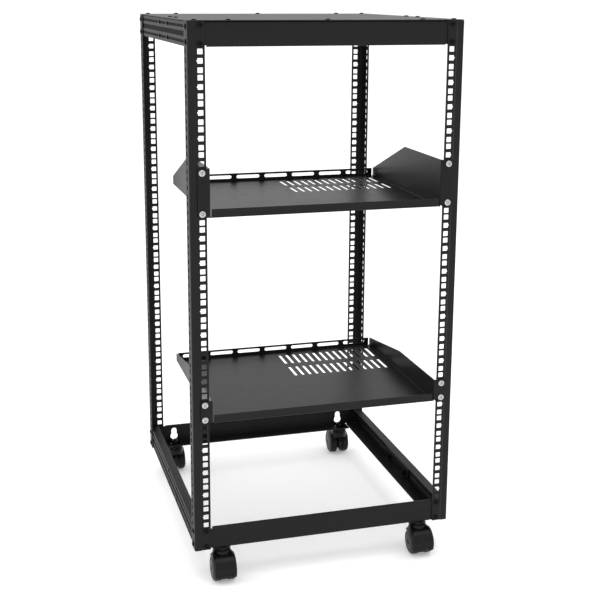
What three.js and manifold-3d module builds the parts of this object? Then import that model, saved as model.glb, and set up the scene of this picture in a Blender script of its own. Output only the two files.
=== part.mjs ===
// Open-frame equipment rack on casters, 20 rack units tall inside, with two shelves.
// Millimetres, +Z up, the front faces -Y, and the origin is on the floor under the centre.

import * as THREE from "three";
import { mergeVertices } from "three/addons/utils/BufferGeometryUtils.js";
import Module from "manifold-3d";

const wasm = await Module();
wasm.setup();

// ---------------------------------------------------------------- driving dimensions

const RACK_UNIT = 44.45;
const OPENING_UNITS = 20;
const POST_UNITS = 22;
const HOLE_STEPS = [6.35, 22.225, 38.1]; // below the top of each unit
const HOLE_COLUMN = 232.55; // half the width between the two columns of holes
const SQUARE_HOLE = 9.5;

const FRAME_WIDTH = 510;
const FRAME_DEPTH = 540;
const CASTER_HEIGHT = 66;
const SHEET = 2; // frame steel
const SHELF_SHEET = 1.5;
const PANEL_SHEET = 1.5;
const GAP = 0.3; // between pieces that touch

const POST_FACE = 31;
const POST_SIDE = 30;
const POST_JOG = 1.2; // the strip with the holes sits back by this much
const POST_JOG_AT = 13.5; // and starts this far from the post's corner
const JOG_RUN = 1.2; // of the slope between the two faces
const JOG_LEAN = 0.2; // the slope's outer face starts this much further from the corner
const STRIP_OVERLAP = 2; // the two halves of a post's drawing share this much

const RAIL_HEIGHT = 44;
const RAIL_WIDE_FLANGE = 30;
const RAIL_NARROW_FLANGE = 17;
const RAIL_JOINT = 258; // from the frame's front face
const RIB_DEPTH = 1;
const RIB_PITCH = 13; // narrow ribs above and below the wide middle one
const RIB_WIDTHS = { narrow: 4, wide: 8 };
const SPLICE_LENGTH = 140;
const SPLICE_SCREW = 44; // from the joint, along the rail
const SPLICE_NUT = { radius: 5, height: 5 };

const BEAM_HEIGHT = 43.5;
const BEAM_FLANGE = 30;
const BEAM_LIP = 5;
const BEAM_END_CLEARANCE = 3; // between the beams' flanges and the posts' front flanges
const LIP_SETBACK = 2; // of the narrow lip's ends, from the wide flange's ends
const KEYHOLE_X = 200;
const KEYHOLE = { roundZ: 15.3, roundRadius: 8.5, neckZ: 29, neckRadius: 6.2 };
const CASTER_X = 200;

const SHELF_DEPTH = 370;
const SHELF_HALF = 219.5;
const EAR_REACH = 240.6;
const EAR_CLEARANCE = 0.35; // between an ear and the edges of its rack units
const SHELF_LIP = 16;
const SHELF_LEVEL = 185; // the side walls are level this far back, then slope down
const SHELF_STOP = 18; // height of the upstand along the back edge
const EAR_HOLE_RADIUS = 3.4;
const LACING_COUNT = 7;
const LACING_PITCH = 60.3;
const LACING_LENGTH = 49.5;
const LACING_WIDTH = 7;
const LACING_HEIGHT = 10.5; // from the shelf's underside to the slots' centres
const VENT_COUNT = 14;
const VENT_PITCH = 15.2;
const VENT_FIRST_X = 3;
const VENT_LENGTH = 58;
const VENT_WIDTH = 6;
const VENT_ROWS = [240, 318]; // row centres, from the shelf's front edge

const WHEEL_RADIUS = 25;
const WHEEL_INNER = 6.3;
const WHEEL_OUTER = 23;
const WHEEL_BORE_END = 20.6; // the bore stops short of the wheel's outer face
const TRAIL = 13; // from the swivel axis out to the axle
const AXLE_RADIUS = 3;
const AXLE_LENGTH = 40;
const HOOD_HALF_WIDTH = 21;
const HOOD_RADII = [26, 29];
const HOOD_FOOT = 14; // height of the hood's lower edge over the floor
const WEB_HALF = 4; // of the wall between the two wheels
const BOSS_HEIGHTS = [42, 58];
const NECK_RADIUS = 17;
const PIVOT_RADIUS = 5; // the stem's lower end, on which the hood swivels
const PIVOT_FOOT = 51;
const STEM_RADIUS = 4;
const STEM_REACH = 13; // of the threaded end, above the underside of the frame
const WASHER = { radius: 12.5, height: 1.6 };
const NUT = { radius: 7.5, height: 8 };
const BRAKE_HALF_WIDTH = 13;
const BRAKE_HEIGHTS = [12.5, 21.7];
const BRAKE_ARM = [[-4, 5], [5, 5], [5, -5], [-24.3, -11.5], [-26.9, -6]]; // from the axle
const FAR = 60; // past any face of a caster, for the cutting shapes

// ---------------------------------------------------------------- derived places

const HALF_WIDTH = FRAME_WIDTH / 2;
const HALF_DEPTH = FRAME_DEPTH / 2;
const OPENING = RACK_UNIT * OPENING_UNITS;
const POST_HEIGHT = RACK_UNIT * POST_UNITS;
const FRAME_TOP = CASTER_HEIGHT + POST_HEIGHT;
const OPENING_TOP = FRAME_TOP - (POST_HEIGHT - OPENING) / 2;
const INNER_X = HALF_WIDTH - SHEET - GAP; // what sits inside the posts' side flanges
const WEB_FRONT = POST_JOG + SHEET + GAP; // what sits behind the posts' front flanges

const unitHoles = (unit) => HOLE_STEPS.map((step) => OPENING_TOP - unit * RACK_UNIT - step);
const postHoles = Array.from({ length: OPENING_UNITS }, (_, unit) => unitHoles(unit)).flat();

// ---------------------------------------------------------------- shape helpers

// A closed outline, wound the same way whichever way its points run.
function outline(points, holes = []) {
  const ring = points.map(([u, v]) => new THREE.Vector2(u, v));
  const shape = new THREE.Shape(THREE.ShapeUtils.isClockWise(ring) ? ring.reverse() : ring);
  shape.holes = holes;
  return shape;
}

function prism(shape, depth, curveSegments = 5) {
  return new THREE.ExtrudeGeometry(shape, { depth, bevelEnabled: false, curveSegments });
}

// An outline in X and Y, raised from z0 to z1.
function prismZ(shape, z0, z1) {
  return prism(shape, z1 - z0).translate(0, 0, z0);
}

// An outline in X and Z, run from y0 to y1.
function prismY(shape, y0, y1, curveSegments) {
  return prism(shape, y1 - y0, curveSegments).rotateX(Math.PI / 2).translate(0, y1, 0);
}

// An outline in Y and Z, run from x0 to x1.
function prismX(shape, x0, x1) {
  const turn = new THREE.Matrix4().makeBasis(
    new THREE.Vector3(0, 1, 0),
    new THREE.Vector3(0, 0, 1),
    new THREE.Vector3(1, 0, 0),
  );
  return prism(shape, x1 - x0).applyMatrix4(turn).translate(x0, 0, 0);
}

function block(x0, x1, y0, y1, z0, z1) {
  const box = new THREE.BoxGeometry(x1 - x0, y1 - y0, z1 - z0);
  return box.translate((x0 + x1) / 2, (y0 + y1) / 2, (z0 + z1) / 2);
}

function rod(radius, length, sides = 12) {
  return new THREE.CylinderGeometry(radius, radius, length, sides);
}

// A profile of [radius, height] points turned about Z.
function turned(profile, sides) {
  const points = profile.map(([radius, height]) => new THREE.Vector2(radius, height));
  return new THREE.LatheGeometry(points, sides).rotateX(Math.PI / 2);
}

function rectangle(u, v, width, height) {
  const path = new THREE.Path();
  path.moveTo(u - width / 2, v - height / 2);
  path.lineTo(u + width / 2, v - height / 2);
  path.lineTo(u + width / 2, v + height / 2);
  path.lineTo(u - width / 2, v + height / 2);
  path.closePath();
  return path;
}

// A slot along u with round ends.
function slot(u, v, length, width) {
  const path = new THREE.Path();
  const half = (length - width) / 2;
  path.absarc(u + half, v, width / 2, -Math.PI / 2, Math.PI / 2);
  path.absarc(u - half, v, width / 2, Math.PI / 2, (3 * Math.PI) / 2);
  path.closePath();
  return path;
}

function solid(geometry) {
  const bare = geometry.clone();
  bare.deleteAttribute("normal");
  bare.deleteAttribute("uv");
  const merged = mergeVertices(bare, 1e-4);
  const vertProperties = new Float32Array(merged.attributes.position.array);
  const triVerts = new Uint32Array(merged.index.array);
  return new wasm.Manifold(new wasm.Mesh({ numProp: 3, vertProperties, triVerts }));
}

const join = (...pieces) => pieces.map(solid).reduce((whole, piece) => whole.add(piece));

function cut(whole, ...tools) {
  return tools.map(solid).reduce((rest, tool) => rest.subtract(tool), whole);
}

function geometryOf(body) {
  const mesh = body.getMesh();
  const geometry = new THREE.BufferGeometry();
  const positions = new THREE.BufferAttribute(new Float32Array(mesh.vertProperties), 3);
  geometry.setAttribute("position", positions);
  geometry.setIndex(new THREE.BufferAttribute(new Uint32Array(mesh.triVerts), 1));
  geometry.computeVertexNormals();
  return geometry;
}

// ---------------------------------------------------------------- materials

function finish(color, roughness, metalness) {
  return new THREE.MeshStandardMaterial({ color, roughness, metalness, flatShading: true });
}

const powderCoat = () => finish(0x1c1c1e, 0.55, 0.2);
const zincPlate = () => finish(0xb9bcc0, 0.3, 0.9);
const blackPlastic = () => finish(0x151516, 0.4, 0.0);
const wheelPlastic = () => finish(0x1a1a1a, 0.5, 0.0);
const blackSteel = () => finish(0x202022, 0.4, 0.7);

const rack = new THREE.Group();
rack.name = "equipment_rack";

function place(parent, name, geometry, material, position = [0, 0, 0], turnZ = 0) {
  const mesh = new THREE.Mesh(geometry, material);
  mesh.name = name;
  mesh.position.set(...position);
  mesh.rotation.z = turnZ;
  parent.add(mesh);
  return mesh;
}

// Every corner of the frame: side is -1 left and +1 right; end is -1 front and +1 rear.
const SIDES = { left: -1, right: 1 };
const ENDS = { front: -1, rear: 1 };

// ---------------------------------------------------------------- posts

// An angle with square holes in its face. It is drawn as a front post, its face at y = 0.
function postGeometry(side) {
  const x = (distance) => side * (HALF_WIDTH - distance);
  const slope = POST_JOG_AT - JOG_RUN / 2;
  const angle = outline([
    [x(0), 0],
    [x(0), POST_SIDE],
    [x(SHEET), POST_SIDE],
    [x(SHEET), SHEET],
    [x(slope), SHEET],
    [x(slope + JOG_RUN), SHEET + POST_JOG],
    [x(POST_JOG_AT + STRIP_OVERLAP), SHEET + POST_JOG],
    [x(POST_JOG_AT + STRIP_OVERLAP), POST_JOG],
    [x(slope + JOG_RUN + JOG_LEAN), POST_JOG],
    [x(slope + JOG_LEAN), 0],
  ]);
  const holes = postHoles.map((z) => rectangle(side * HOLE_COLUMN, z, SQUARE_HOLE, SQUARE_HOLE));
  const strip = outline(
    [
      [x(POST_JOG_AT + STRIP_OVERLAP - 0.5), CASTER_HEIGHT],
      [x(POST_JOG_AT + STRIP_OVERLAP - 0.5), FRAME_TOP],
      [x(POST_FACE), FRAME_TOP],
      [x(POST_FACE), CASTER_HEIGHT],
    ],
    holes,
  );
  return geometryOf(
    join(prismZ(angle, CASTER_HEIGHT, FRAME_TOP), prismY(strip, POST_JOG, POST_JOG + SHEET)),
  );
}

function addPosts(parent) {
  for (const [end, away] of Object.entries(ENDS)) {
    for (const [name, side] of Object.entries(SIDES)) {
      const turn = away > 0 ? Math.PI : 0;
      const geometry = postGeometry(away > 0 ? -side : side);
      const position = [0, away * HALF_DEPTH, 0];
      place(parent, `post_${end}_${name}`, geometry, powderCoat(), position, turn);
    }
  }
}

// ---------------------------------------------------------------- front and rear beams

// A keyhole hangs the rack on a wall screw: its neck is above its round part.
function keyhole(x) {
  const { roundZ, roundRadius, neckZ, neckRadius } = KEYHOLE;
  const meet = Math.asin(neckRadius / roundRadius);
  const path = new THREE.Path();
  path.absarc(x, neckZ, neckRadius, 0, Math.PI);
  path.absarc(x, roundZ, roundRadius, Math.PI / 2 + meet, 2.5 * Math.PI - meet);
  path.closePath();
  return path;
}

// A channel across the rack, drawn as a front beam from z = 0 to its height. Its wide flange
// is on the outside of the frame: below on the bottom beams, above on the top ones.
function beamGeometry(isRear, isTop) {
  const half = INNER_X;
  const inside = HALF_WIDTH - POST_FACE - BEAM_END_CLEARANCE;
  const back = WEB_FRONT + SHEET;
  const reach = WEB_FRONT + BEAM_FLANGE;
  const web = outline(
    [[-half, 0], [half, 0], [half, BEAM_HEIGHT], [-half, BEAM_HEIGHT]],
    isRear ? [keyhole(-KEYHOLE_X), keyhole(KEYHOLE_X)] : [],
  );
  const stemHoles = [-CASTER_X, CASTER_X].map((x) => {
    const path = new THREE.Path();
    path.absarc(x, WEB_FRONT + BEAM_FLANGE / 2, STEM_RADIUS + 2 * GAP, 0, 2 * Math.PI);
    return path;
  });
  const flange = outline(
    [[-inside, back - 1], [inside, back - 1], [inside, reach], [-inside, reach]],
    isTop ? [] : stemHoles,
  );
  const [flangeLow, lipLow] = isTop ? [BEAM_HEIGHT - SHEET, 0] : [0, BEAM_HEIGHT - SHEET];
  const lipHalf = inside - LIP_SETBACK;
  const lip = block(-lipHalf, lipHalf, back - 1, WEB_FRONT + BEAM_LIP, lipLow, lipLow + SHEET);
  return geometryOf(
    join(prismY(web, WEB_FRONT, back), prismZ(flange, flangeLow, flangeLow + SHEET), lip),
  );
}

function addBeams(parent) {
  for (const [end, away] of Object.entries(ENDS)) {
    for (const level of ["bottom", "top"]) {
      const isTop = level === "top";
      const low = isTop ? FRAME_TOP - BEAM_HEIGHT : CASTER_HEIGHT;
      const geometry = beamGeometry(away > 0, isTop);
      const turn = away > 0 ? Math.PI : 0;
      const position = [0, away * HALF_DEPTH, low];
      place(parent, `beam_${end}_${level}`, geometry, powderCoat(), position, turn);
    }
  }
}

// ---------------------------------------------------------------- side rails

// The web's outer face steps in at each rolled rib. Heights run from the wide flange.
function ribSteps() {
  const middle = RAIL_HEIGHT / 2;
  const ribs = [
    [middle - RIB_PITCH, RIB_WIDTHS.narrow],
    [middle, RIB_WIDTHS.wide],
    [middle + RIB_PITCH, RIB_WIDTHS.narrow],
  ];
  return ribs.flatMap(([z, width]) => [
    [0, z - width / 2 - RIB_DEPTH],
    [RIB_DEPTH, z - width / 2],
    [RIB_DEPTH, z + width / 2],
    [0, z + width / 2 + RIB_DEPTH],
  ]);
}

// A ribbed channel in X and Z; side is -1 left and +1 right; up turns the wide flange up.
function railOutline(side, up) {
  const x = (inward) => side * (INNER_X - inward);
  const z = (height) => (up ? FRAME_TOP - height : CASTER_HEIGHT + height);
  const steps = ribSteps();
  const outer = steps.map(([inward, height]) => [x(inward), z(height)]);
  const inner = steps.map(([inward, height]) => [x(inward + SHEET), z(height)]).reverse();
  return outline([
    [x(RAIL_WIDE_FLANGE), z(0)],
    [x(0), z(0)],
    ...outer,
    [x(0), z(RAIL_HEIGHT)],
    [x(RAIL_NARROW_FLANGE), z(RAIL_HEIGHT)],
    [x(RAIL_NARROW_FLANGE), z(RAIL_HEIGHT - SHEET)],
    [x(SHEET), z(RAIL_HEIGHT - SHEET)],
    ...inner,
    [x(SHEET), z(SHEET)],
    [x(RAIL_WIDE_FLANGE), z(SHEET)],
  ]);
}

// A plate inside the rail's web that carries the four nuts of the joint's screws.
function spliceGeometry(side, up) {
  const face = INNER_X - SHEET - RIB_DEPTH - GAP;
  const x = [side * face, side * (face - SHEET)].sort((a, b) => a - b);
  const low = SHEET + 1;
  const high = RAIL_HEIGHT - SHEET - 1;
  const z = up ? [FRAME_TOP - high, FRAME_TOP - low] : [CASTER_HEIGHT + low, CASTER_HEIGHT + high];
  const y = RAIL_JOINT - HALF_DEPTH;
  const plate = block(...x, y - SPLICE_LENGTH / 2, y + SPLICE_LENGTH / 2, ...z);
  const centre = up ? FRAME_TOP - RAIL_HEIGHT / 2 : CASTER_HEIGHT + RAIL_HEIGHT / 2;
  const nuts = [-1, 1].flatMap((along) =>
    [-1, 1].map((across) => {
      const nut = rod(SPLICE_NUT.radius, SPLICE_NUT.height + SHEET, 6).rotateZ(Math.PI / 2);
      const from = side * (face - SHEET - SPLICE_NUT.height / 2);
      return nut.translate(from, y + along * SPLICE_SCREW, centre + across * RIB_PITCH);
    }),
  );
  return geometryOf(join(plate, ...nuts));
}

function addRails(parent) {
  const start = WEB_FRONT + SHEET + GAP - HALF_DEPTH;
  const joint = RAIL_JOINT - HALF_DEPTH;
  for (const [name, side] of Object.entries(SIDES)) {
    for (const [level, up] of [["bottom", false], ["top", true]]) {
      const front = prismY(railOutline(side, up), start, joint - GAP / 2);
      const rear = prismY(railOutline(side, up), joint + GAP / 2, -start);
      const splice = spliceGeometry(side, up);
      place(parent, `rail_${name}_${level}_front`, geometryOf(solid(front)), powderCoat());
      place(parent, `rail_${name}_${level}_rear`, geometryOf(solid(rear)), powderCoat());
      place(parent, `splice_${name}_${level}`, splice, blackSteel());
    }
  }
}

function addTopPanel(parent) {
  const low = FRAME_TOP + GAP;
  const plate = block(-HALF_WIDTH, HALF_WIDTH, -HALF_DEPTH, HALF_DEPTH, low, low + PANEL_SHEET);
  place(parent, "top_panel", geometryOf(solid(plate)), powderCoat());
}

// ---------------------------------------------------------------- shelves

const EAR_Y = POST_JOG - GAP - SHEET; // the ears' front face, measured back from the posts' face

// The vents' cutters: two rows of slots that run from front to back.
function vents() {
  return VENT_ROWS.flatMap((y) =>
    Array.from({ length: VENT_COUNT }, (_, i) => {
      const vent = new THREE.BoxGeometry(VENT_WIDTH, VENT_LENGTH, 4 * SHELF_SHEET);
      return vent.translate(VENT_FIRST_X + i * VENT_PITCH, y, 0);
    }),
  );
}

function lacingSlots() {
  return Array.from({ length: LACING_COUNT }, (_, i) => {
    const x = (i - (LACING_COUNT - 1) / 2) * LACING_PITCH;
    return slot(x, LACING_HEIGHT, LACING_LENGTH, LACING_WIDTH);
  });
}

// A tray with ears. Its own frame has y = 0 at the posts' face and z = 0 under its floor.
// The ears are level with the floor's underside and as tall as the side walls.
function shelfGeometry(height, screwHeights) {
  const front = EAR_Y;
  const back = SHELF_DEPTH;
  const inner = SHELF_HALF - SHELF_SHEET;
  const wall = outline([
    [front, 0],
    [back, 0],
    [back, SHELF_STOP],
    [SHELF_LEVEL, height],
    [front, height],
  ]);
  const stop = outline(
    [[-inner - 1, 0.5], [inner + 1, 0.5], [inner + 1, SHELF_STOP], [-inner - 1, SHELF_STOP]],
    lacingSlots(),
  );
  const ears = Object.values(SIDES).map((side) => {
    const holes = screwHeights.map((z) => {
      const path = new THREE.Path();
      path.absarc(side * HOLE_COLUMN, z, EAR_HOLE_RADIUS, 0, 2 * Math.PI);
      return path;
    });
    const [a, b] = [side * inner, side * EAR_REACH];
    return prismY(outline([[a, 0], [b, 0], [b, height], [a, height]], holes), front, front + SHEET);
  });
  const tray = join(
    block(-SHELF_HALF, SHELF_HALF, front, back, 0, SHELF_SHEET),
    prismX(wall, -SHELF_HALF, -inner),
    prismX(wall, inner, SHELF_HALF),
    prismY(stop, back - SHELF_SHEET, back, 2),
    block(-inner - 1, inner + 1, front, front + SHELF_SHEET, 0, SHELF_LIP),
    ...ears,
  );
  return geometryOf(cut(tray, ...vents()));
}

// A pan-head screw along Y, its head's underside at y = 0 and its tip towards +Y.
function shelfScrewGeometry() {
  const profile = [[0, -3.6], [3.5, -3.4], [5.8, -1.8], [6, 0], [3, 0], [3, 16], [0, 16]];
  return turned(profile, 12).rotateX(-Math.PI / 2);
}

// units is the ear's height, and screwHoles the post holes that its screws go through.
function addShelf(parent, name, units, screwHoles) {
  const height = units * RACK_UNIT - 2 * EAR_CLEARANCE;
  const screws = screwHoles.map((hole) => postHoles[hole]);
  const low = (screws[0] + screws[1] - height) / 2;
  const geometry = shelfGeometry(height, screws.map((z) => z - low));
  place(parent, `shelf_${name}`, geometry, powderCoat(), [0, -HALF_DEPTH, low]);
  for (const [sideName, side] of Object.entries(SIDES)) {
    screws.forEach((z, i) => {
      const label = `shelf_${name}_screw_${sideName}_${i === 0 ? "high" : "low"}`;
      const position = [side * HOLE_COLUMN, -HALF_DEPTH + EAR_Y - GAP, z];
      place(parent, label, geometryOf(solid(shelfScrewGeometry())), zincPlate(), position);
    });
  }
}

// ---------------------------------------------------------------- casters

// In a caster's own frame x = y = 0 is the swivel axis, z = 0 the floor, and the axle is at
// y = -TRAIL, along X. The hood covers the wheels on that side and is open towards +Y.

function stemGeometry() {
  const disc = [BOSS_HEIGHTS[1] + GAP, CASTER_HEIGHT - GAP];
  const profile = [
    [0, PIVOT_FOOT],
    [PIVOT_RADIUS, PIVOT_FOOT],
    [PIVOT_RADIUS, disc[0]],
    [NECK_RADIUS, disc[0]],
    [NECK_RADIUS, disc[1]],
    [STEM_RADIUS, disc[1]],
    [STEM_RADIUS, CASTER_HEIGHT + STEM_REACH],
    [0, CASTER_HEIGHT + STEM_REACH],
  ];
  return geometryOf(solid(turned(profile, 20)));
}

// A cylinder along Z around the swivel axis.
function upright(radius, z0, z1) {
  return rod(radius, z1 - z0, 20).rotateX(Math.PI / 2).translate(0, 0, (z0 + z1) / 2);
}

function nutGeometry() {
  const low = CASTER_HEIGHT + SHEET + GAP;
  const washer = upright(WASHER.radius, low, low + WASHER.height);
  const hex = rod(NUT.radius, NUT.height - 1, 6).rotateX(Math.PI / 2);
  hex.translate(0, 0, low + (NUT.height + 1) / 2);
  return geometryOf(cut(join(washer, hex), upright(STEM_RADIUS + GAP, low - 1, low + NUT.height + 1)));
}

function alongAxle(geometry) {
  return geometry.rotateZ(Math.PI / 2).translate(0, -TRAIL, WHEEL_RADIUS);
}

// A round shell over both wheels, with a wall between them and a boss around the stem.
function hoodGeometry(hasBrake) {
  const [inner, outer] = HOOD_RADII;
  const shell = alongAxle(rod(outer, 2 * HOOD_HALF_WIDTH, 28));
  const boss = upright(NECK_RADIUS, ...BOSS_HEIGHTS);
  const openings = [-1, 1].flatMap((side) => {
    const x = [side * WEB_HALF, side * FAR].sort((a, b) => a - b);
    const pocket = alongAxle(rod(inner, FAR, 28)).translate(side * (WEB_HALF + FAR / 2), 0, 0);
    return [pocket, block(...x, 0, FAR, -FAR, BOSS_HEIGHTS[0])];
  });
  const tools = [
    ...openings,
    block(-FAR, FAR, -FAR, FAR, -FAR, HOOD_FOOT),
    alongAxle(rod(AXLE_RADIUS + GAP, FAR, 12)),
    upright(PIVOT_RADIUS + GAP, PIVOT_FOOT - GAP, FAR),
  ];
  if (hasBrake) {
    const half = BRAKE_HALF_WIDTH + GAP;
    const back = -TRAIL - WHEEL_RADIUS + 3;
    tools.push(block(-half, half, -FAR, back, -FAR, BRAKE_HEIGHTS[1] + GAP));
  }
  return geometryOf(cut(join(shell, boss), ...tools));
}

// A twin wheel's half: solid outer cap, bored from the inner side for the axle.
function wheelGeometry(side) {
  const bore = AXLE_RADIUS + GAP;
  const profile = [
    [0, WHEEL_BORE_END],
    [bore, WHEEL_BORE_END],
    [bore, WHEEL_INNER],
    [WHEEL_RADIUS - 3, WHEEL_INNER],
    [WHEEL_RADIUS, WHEEL_INNER + 3],
    [WHEEL_RADIUS, WHEEL_OUTER - 6],
    [WHEEL_RADIUS - 3, WHEEL_OUTER - 2],
    [WHEEL_RADIUS - 9, WHEEL_OUTER],
    [0, WHEEL_OUTER],
  ];
  const wheel = turned(profile, 24).rotateY(side * Math.PI / 2);
  return geometryOf(solid(wheel.translate(0, -TRAIL, WHEEL_RADIUS)));
}

function axleGeometry() {
  return geometryOf(solid(alongAxle(rod(AXLE_RADIUS, AXLE_LENGTH, 12))));
}

// A pedal in the hood's lower front edge, on two arms that turn on the axle.
function brakeGeometry() {
  const [inner, outer] = HOOD_RADII;
  const half = BRAKE_HALF_WIDTH;
  const front = solid(block(-half, half, -FAR, -TRAIL, ...BRAKE_HEIGHTS));
  const pedal = cut(front, alongAxle(rod(inner, FAR, 28)));
  const arms = [-1, 1].map((side) => {
    const x = [side * (WEB_HALF + GAP), side * (WHEEL_INNER - GAP)].sort((a, b) => a - b);
    return solid(prismX(outline(BRAKE_ARM), ...x).translate(0, -TRAIL, WHEEL_RADIUS));
  });
  const rounded = pedal.intersect(solid(alongAxle(rod(outer, FAR, 28))));
  const whole = arms.reduce((sum, arm) => sum.add(arm), rounded);
  return geometryOf(cut(whole, alongAxle(rod(AXLE_RADIUS + GAP, FAR, 12))));
}

function addCaster(parent, name, x, y, turn, hasBrake) {
  const caster = new THREE.Group();
  caster.position.set(x, y, 0);
  caster.rotation.z = turn;
  place(caster, `caster_${name}_stem`, stemGeometry(), blackSteel());
  place(caster, `caster_${name}_nut`, nutGeometry(), blackSteel());
  place(caster, `caster_${name}_hood`, hoodGeometry(hasBrake), blackPlastic());
  place(caster, `caster_${name}_axle`, axleGeometry(), blackSteel());
  place(caster, `caster_${name}_wheel_a`, wheelGeometry(-1), wheelPlastic());
  place(caster, `caster_${name}_wheel_b`, wheelGeometry(1), wheelPlastic());
  if (hasBrake) {
    place(caster, `caster_${name}_brake`, brakeGeometry(), blackPlastic());
  }
  parent.add(caster);
}

// ---------------------------------------------------------------- assembly

const frame = new THREE.Group();
addPosts(frame);
addBeams(frame);
addRails(frame);
addTopPanel(frame);
addShelf(frame, "upper", 2, [14, 19]);
addShelf(frame, "lower", 1, [43, 45]);

const casterY = HALF_DEPTH - WEB_FRONT - BEAM_FLANGE / 2;
for (const [end, away] of Object.entries(ENDS)) {
  for (const [name, side] of Object.entries(SIDES)) {
    const turn = away > 0 ? Math.PI : 0;
    addCaster(frame, `${end}_${name}`, side * CASTER_X, away * casterY, turn, away < 0);
  }
}
rack.add(frame);

export default rack;
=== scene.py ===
"""Looks of an open-frame equipment rack on casters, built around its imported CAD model.

Shapes are worked out in millimetres and made in metres. X is right, -Y front and Z up.
"""

import math
import random

import bmesh
import bpy
import numpy as np
from mathutils import Matrix, Vector
from mathutils.geometry import delaunay_2d_cdt


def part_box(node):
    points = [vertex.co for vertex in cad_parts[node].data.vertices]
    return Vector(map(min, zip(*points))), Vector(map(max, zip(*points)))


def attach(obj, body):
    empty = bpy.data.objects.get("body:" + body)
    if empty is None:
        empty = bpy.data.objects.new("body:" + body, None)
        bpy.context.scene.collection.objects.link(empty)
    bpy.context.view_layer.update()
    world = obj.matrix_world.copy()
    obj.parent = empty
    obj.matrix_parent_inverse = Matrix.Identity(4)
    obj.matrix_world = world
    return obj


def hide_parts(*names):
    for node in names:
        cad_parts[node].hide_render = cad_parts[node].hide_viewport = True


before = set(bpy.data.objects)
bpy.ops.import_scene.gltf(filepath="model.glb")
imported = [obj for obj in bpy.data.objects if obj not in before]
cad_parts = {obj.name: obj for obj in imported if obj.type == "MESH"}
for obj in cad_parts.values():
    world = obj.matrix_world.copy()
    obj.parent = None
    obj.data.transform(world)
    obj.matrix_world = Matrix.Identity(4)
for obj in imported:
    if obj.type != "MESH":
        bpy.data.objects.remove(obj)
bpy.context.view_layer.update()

MM = 0.001
SIDES = {"left": -1, "right": 1}
ENDS = {"front": -1, "rear": 1}
chance = random.Random(20)

# ---------------------------------------------------------------- sizes in millimetres

RACK_UNIT = 44.45
HOLE_STEPS = (6.35, 22.225, 38.1)  # below the top of each unit
HOLE_HALF = 4.75
HOLE_CORNER = 0.7
NOTCH_RADIUS = 1.55
SIDE_HOLE_HALF = 4.0
HOLE_COLUMN = 232.55
SIDE_HOLE_DEPTH = 19.0  # from the post's face to the holes in its side flange

FRAME_SHEET = 2.0
FOLD_RADIUS = 1.7  # of a sheet's middle
EDGE = 0.25  # rounding of cut edges
FOLD_STEP = math.radians(15)

POST_FACE = 31.0
POST_SIDE = 30.0
POST_JOG = 1.2
POST_JOG_AT = 13.6  # from the post's corner to the middle of the jog

BEAM_FLANGE = 30.0
BEAM_LIP = 5.0
FLANGE_HALF = 221.0
LIP_HALF = 220.5
KEYHOLE_X = 200.0
KEYHOLE_ROUND = (15.3, 8.5)  # height over the beam's lower edge, and radius
KEYHOLE_NECK = (29.0, 6.2)
STEM_HOLE = 4.5

RAIL_WIDE_FLANGE = 30.0
RAIL_NARROW_FLANGE = 17.0
RAIL_HEIGHT = 44.0
RAIL_FOLD = 1.02
RIB_DEPTH = 1.0
RIB_PITCH = 13.0
RIBS = ((-RIB_PITCH, 4.0), (0.0, 8.0), (RIB_PITCH, 4.0))  # from the rail's middle, and width
JOINT_SCREW = 44.0  # from the rail's joint
RAIL_END_SCREW = 15.0  # from the post's face

SHELF_SHEET = 1.5
SHELF_LEVEL = 185.0  # the side walls are level this far back, then slope down
SHELF_LIP = 16.0
SHELF_STOP = 18.0
SHELF_HALF = 219.5
EAR_REACH = 240.6
EAR_SCREW_HOLE = 3.3
EAR_CORNER = 1.5
RELIEF = 1.6  # gap between two folded edges at a corner
LACING_PITCH = 60.3
LACING_LENGTH = 49.5
LACING_WIDTH = 7.0
LACING_HEIGHT = 10.5
VENT_COUNT = 14
VENT_PITCH = 15.2
VENT_FIRST_X = 3.0
VENT_LENGTH = 58.0
VENT_WIDTH = 6.0
VENT_ROWS = (240.0, 318.0)  # row centres, behind the posts' face

WHEEL_RADIUS = 25.0
WHEEL_INNER = 6.3
WHEEL_OUTER = 23.0
WHEEL_BORE_END = 20.6
TRAIL = 13.0  # from the swivel axis out to the axle
AXLE_RADIUS = 3.0
HOOD_INNER = 26.0
HOOD_OUTER = 29.0
HOOD_HALF = 21.0
HOOD_TOP = 58.0
NECK_RADIUS = 17.0
WEB_HALF = 4.0  # of the wall between the two wheels
PIVOT_FOOT = 51.0
PIVOT_RADIUS = 5.0
STEM_RADIUS = 4.0
GAP = 0.3  # between pieces that turn on each other

# Angles are about the axle, from straight ahead, upwards.
HOOD_FOOT_ANGLE = -22.0
HOOD_REAR_ANGLE = 144.0
HOOD_EDGE = 3.2  # rounding of the shell's ends
HOOD_RIM = 1.0  # the shell's thickness at its two ends
HOOD_TAPER = 3.0  # how much narrower the shell is at its crown
HOOD_BLEND = 5.0  # size of the fillet between the shell and the boss
BOSS_START = 42.0
BOSS_ROOT = 40.0
BOSS_ROUND = 1.0
PEDAL_LEFT = -13.0
PEDAL_RIGHT = 7.0
NOTCH_RIGHT = 12.5
PEDAL_FOOT_ANGLE = -25.0
PEDAL_TOP_ANGLE = -6.5
BRAKE_EYE = 5.2  # outer radius of the arms' eyes around the axle
BRAKE_ARM_END = ((-39.6, 19.0), (-37.0, 13.8))  # in Y and Z
WASHER_RADIUS = 12.5
WASHER_HEIGHT = 1.6
NUT_HEIGHT = 8.0
NUT_ACROSS = 13.0
THREAD_PITCH = 1.25
THREAD_END = 13.0  # above the frame's underside

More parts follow.
